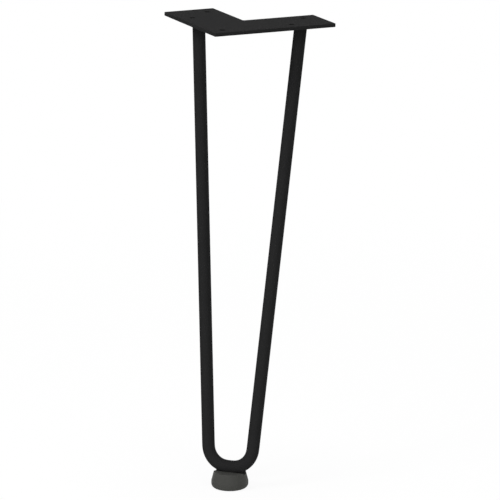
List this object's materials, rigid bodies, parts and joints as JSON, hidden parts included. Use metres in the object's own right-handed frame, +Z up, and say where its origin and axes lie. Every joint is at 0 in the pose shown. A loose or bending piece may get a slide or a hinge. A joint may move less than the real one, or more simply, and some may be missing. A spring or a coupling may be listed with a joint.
{
  "type": "hairpin table leg",
  "caption": "Black hairpin table leg: a round bar bent into a leaning U under an L-shaped screw-on plate, standing in a rubber foot.",
  "frame": {"origin": "on the plate's top face, straight above the foot's axis", "axes": "+Z up into the tabletop, normal to the plate; +Y along the plate's diagonal, from its outer corner towards the middle of the table; +X from the left run of the bar to the right one"},
  "size_m": [0.1702, 0.1199, 0.44],
  "materials": {
    "black_coat": "satin powder coat",
    "foot_rubber": "matte moulded rubber"
  },
  "bodies": {
    "root": {"mounting_plate": "black_coat", "hairpin_bar": "black_coat", "left_weld_bead": "black_coat", "right_weld_bead": "black_coat", "rubber_foot": "foot_rubber"}
  },
  "joints": []
}
